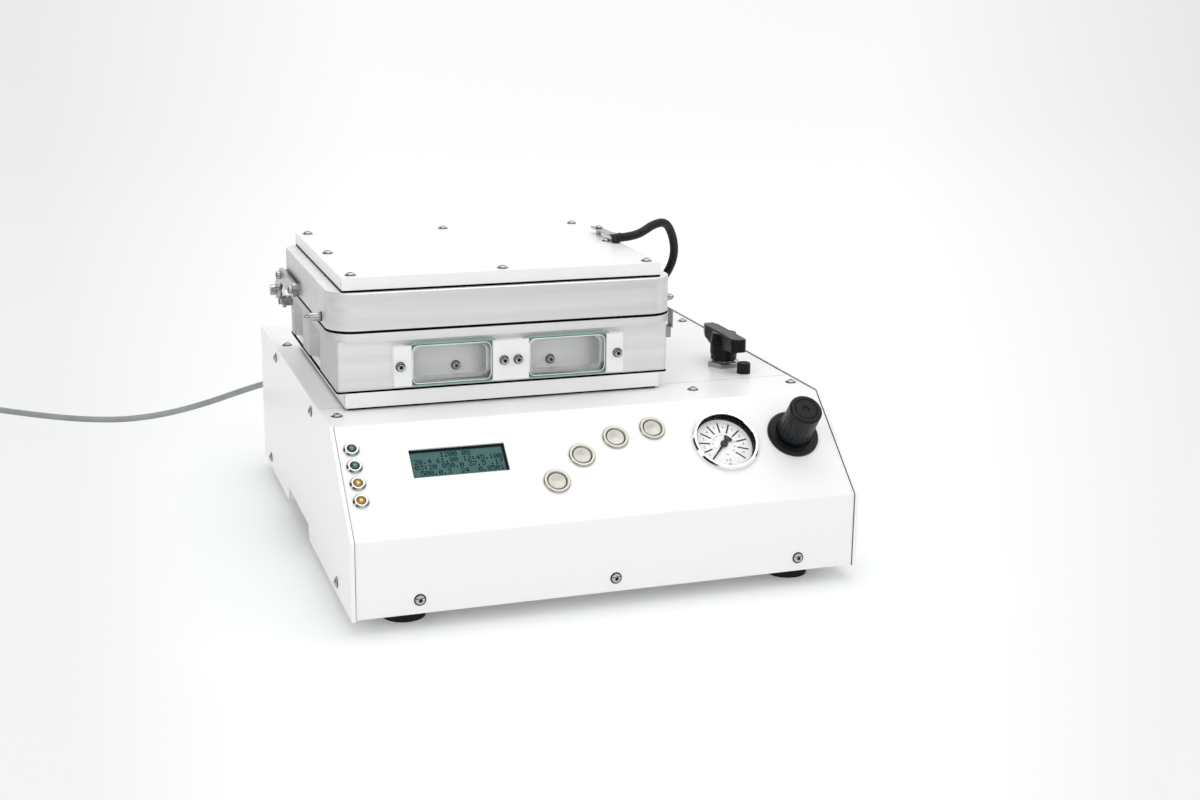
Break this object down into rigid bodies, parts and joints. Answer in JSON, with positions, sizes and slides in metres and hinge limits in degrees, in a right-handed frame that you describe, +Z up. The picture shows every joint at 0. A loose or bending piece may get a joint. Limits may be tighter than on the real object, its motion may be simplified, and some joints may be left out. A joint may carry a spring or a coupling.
{
  "type": "laboratory evaporator",
  "caption": "Bench evaporator with a heated, windowed chamber under a hinged lid, on a low housing with a sloped panel of display, buttons, lamps, gauge and regulator",
  "frame": {"origin": "on the bench, under the middle of the machine without its mains lead", "axes": "+Z up, +Y to the back, +X to the right as seen from the front"},
  "size_m": [0.8054, 0.8054, 0.2662],
  "materials": {
    "pan_paint": "fine powder coat",
    "cover_paint": "fine powder coat",
    "deck_paint": "fine powder coat",
    "rear_paint": "fine powder coat",
    "side_paint": "fine powder coat",
    "foot_rubber": "matte",
    "screw_steel": "bright",
    "display_plastic": "matte",
    "screen": "clear, over a dark green display",
    "lamp_chrome": "polished",
    "lens_plastic": "amber below, green above",
    "button_steel": "satin",
    "gauge_chrome": "polished",
    "dial_paint": "matte white with scale",
    "gauge_glass": "clear",
    "needle_paint": "matte black",
    "regulator_alloy": "cast",
    "regulator_plastic": "satin",
    "spindle_brass": "turned",
    "valve_nickel": "nickel plated",
    "handle_plastic": "fine moulded grain",
    "silencer_plastic": "matte",
    "buffer_rubber": "matte",
    "tray_paint": "fine powder coat",
    "chamber_alloy": "satin anodised",
    "gasket_rubber": "matte",
    "window_glass": "clear with green edges",
    "clamp_paint": "satin",
    "carrier_alloy": "milled",
    "hinge_steel": "satin",
    "pin_steel": "turned",
    "lid_alloy": "satin anodised",
    "nozzle_alloy": "satin",
    "sleeve_fabric": "braided sleeve",
    "gland_plastic": "satin",
    "switch_plastic": "satin",
    "inlet_plastic": "satin",
    "rocker_plastic": "gloss",
    "port_steel": "turned",
    "hose_plastic": "smooth",
    "supply_metal": "plain",
    "board_plastic": "matte",
    "lead_plastic": "satin",
    "cap_metal": "satin"
  },
  "bodies": {
    "housing": {"bottom_pan": "pan_paint", "front_cover": "cover_paint", "rear_deck": "deck_paint", "rear_panel": "rear_paint", "left_side_panel": "side_paint", "right_side_panel": "side_paint", "side_cover_plate": "side_paint", "rubber_feet": "foot_rubber", "housing_screws": "screw_steel", "display_module": "display_plastic", "display_screen": "screen", "lamp_bezels": "lamp_chrome", "lamp_lenses": "lens_plastic", "button_bodies": "button_steel", "gauge_case": "gauge_chrome", "gauge_dial": "dial_paint", "gauge_glass": "gauge_glass", "regulator_body": "regulator_alloy", "regulator_ring": "regulator_plastic", "valve_body": "valve_nickel", "vent_silencer": "silencer_plastic", "rubber_buffers": "buffer_rubber", "chamber_tray": "tray_paint", "lower_chamber": "chamber_alloy", "chamber_gasket": "gasket_rubber", "window_glasses": "window_glass", "window_clamps": "clamp_paint", "chamber_screws": "screw_steel", "sample_carrier": "carrier_alloy", "hinge_base_plates": "hinge_steel", "hinge_pins": "pin_steel", "lid_cable": "sleeve_fabric", "cable_gland": "gland_plastic", "lid_switch": "switch_plastic", "mains_inlet": "inlet_plastic", "switch_frame": "inlet_plastic", "vacuum_port": "port_steel", "vacuum_hose": "hose_plastic", "power_supply": "supply_metal", "control_board": "board_plastic", "mains_connector": "lead_plastic", "mains_lead": "lead_plastic", "mains_coil": "lead_plastic", "mains_plug": "lead_plastic"},
    "lid": {"lid_block": "lid_alloy", "nozzle_plate": "nozzle_alloy", "lid_cover": "tray_paint", "lid_screws": "screw_steel", "lid_side_pins": "pin_steel", "lid_cable_clip": "hinge_steel", "hinge_lid_plates": "hinge_steel"},
    "enter_button": {"button_enter": "cap_metal"},
    "down_button": {"button_down": "cap_metal"},
    "up_button": {"button_up": "cap_metal"},
    "cursor_button": {"button_cursor": "cap_metal"},
    "spindle": {"regulator_spindle": "spindle_brass"},
    "knob": {"regulator_knob": "regulator_plastic"},
    "handle": {"valve_handle": "handle_plastic"},
    "needle": {"gauge_needle": "needle_paint"},
    "rocker": {"switch_rocker": "rocker_plastic"}
  },
  "joints": [
    {"name": "lid_hinge", "type": "hinge", "parent": "housing", "child": "lid", "pos_m": [-0.05285, 0.1296, 0.1955], "axis": [-1, 0, 0], "range_deg": [0, 80], "deforming": ["lid_cable"]},
    {"name": "enter_press", "type": "slide", "parent": "housing", "child": "enter_button", "axis": [0, 0.6504, -0.7596], "range_m": [0, 0.002], "stiffness_N_per_m": 800},
    {"name": "down_press", "type": "slide", "parent": "housing", "child": "down_button", "axis": [0, 0.6504, -0.7596], "range_m": [0, 0.002], "stiffness_N_per_m": 800},
    {"name": "up_press", "type": "slide", "parent": "housing", "child": "up_button", "axis": [0, 0.6504, -0.7596], "range_m": [0, 0.002], "stiffness_N_per_m": 800},
    {"name": "cursor_press", "type": "slide", "parent": "housing", "child": "cursor_button", "axis": [0, 0.6504, -0.7596], "range_m": [0, 0.002], "stiffness_N_per_m": 800},
    {"name": "regulator_turn", "type": "hinge", "parent": "housing", "child": "spindle", "pos_m": [0.17215, -0.19258, 0.11456], "axis": [0, 0.6504, -0.7596], "range_deg": [0, 1080]},
    {"name": "knob_pull", "type": "slide", "parent": "spindle", "child": "knob", "axis": [0, -0.6504, 0.7596], "range_m": [0, 0.003]},
    {"name": "valve_turn", "type": "hinge", "parent": "housing", "child": "handle", "pos_m": [0.16665, -0.0539, 0.15], "axis": [0, 0, 1], "range_deg": [0, 180]},
    {"name": "needle_swing", "type": "hinge", "parent": "housing", "child": "needle", "pos_m": [0.11115, -0.19334, 0.11391], "axis": [0, 0.6504, -0.7596], "range_deg": [0, 270], "stiffness_Nm_per_rad": 0.002},
    {"name": "rocker_tip", "type": "hinge", "parent": "housing", "child": "rocker", "pos_m": [-0.09385, 0.2149, 0.066], "axis": [-1, 0, 0], "range_deg": [0, 16]}
  ]
}
